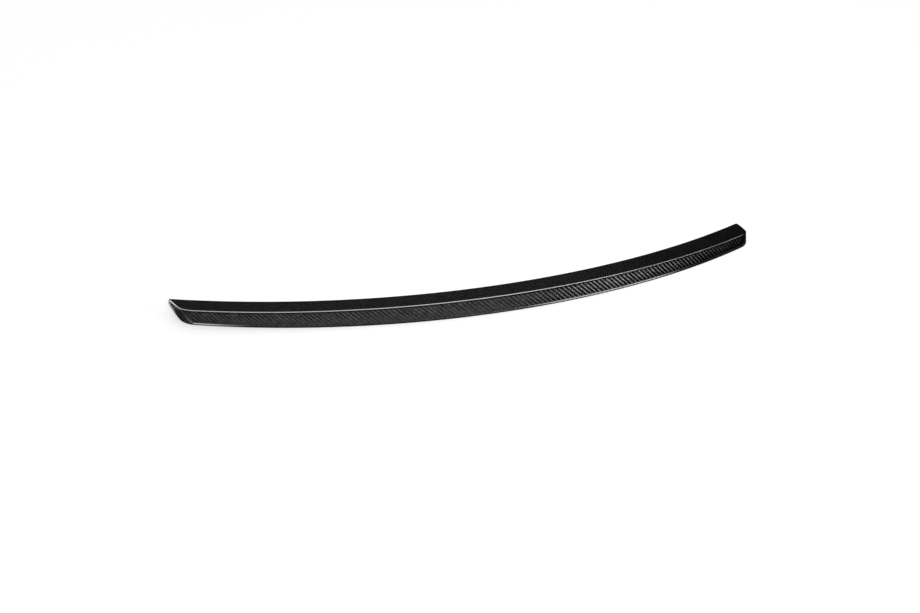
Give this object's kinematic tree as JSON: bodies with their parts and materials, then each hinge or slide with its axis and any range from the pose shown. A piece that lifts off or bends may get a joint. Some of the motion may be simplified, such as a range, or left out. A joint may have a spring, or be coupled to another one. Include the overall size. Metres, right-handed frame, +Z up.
{
  "type": "boot lid lip spoiler",
  "caption": "Shallow curved lip spoiler for a car's boot lid: sloping top skin, upright rear wall, swept ends and an open underside with flat lands that bond to the lid.",
  "frame": {"origin": "middle of the rear wall's seat, on the bonding plane", "axes": "+X along the length to the right of the car, +Y towards the front of the car, +Z up out of the boot lid"},
  "size_m": [1.0998, 0.1961, 0.0306],
  "materials": {
    "carbon_skin": "gloss clear coat over black twill carbon cloth"
  },
  "bodies": {
    "root": {"spoiler_lip": "carbon_skin"}
  },
  "joints": []
}
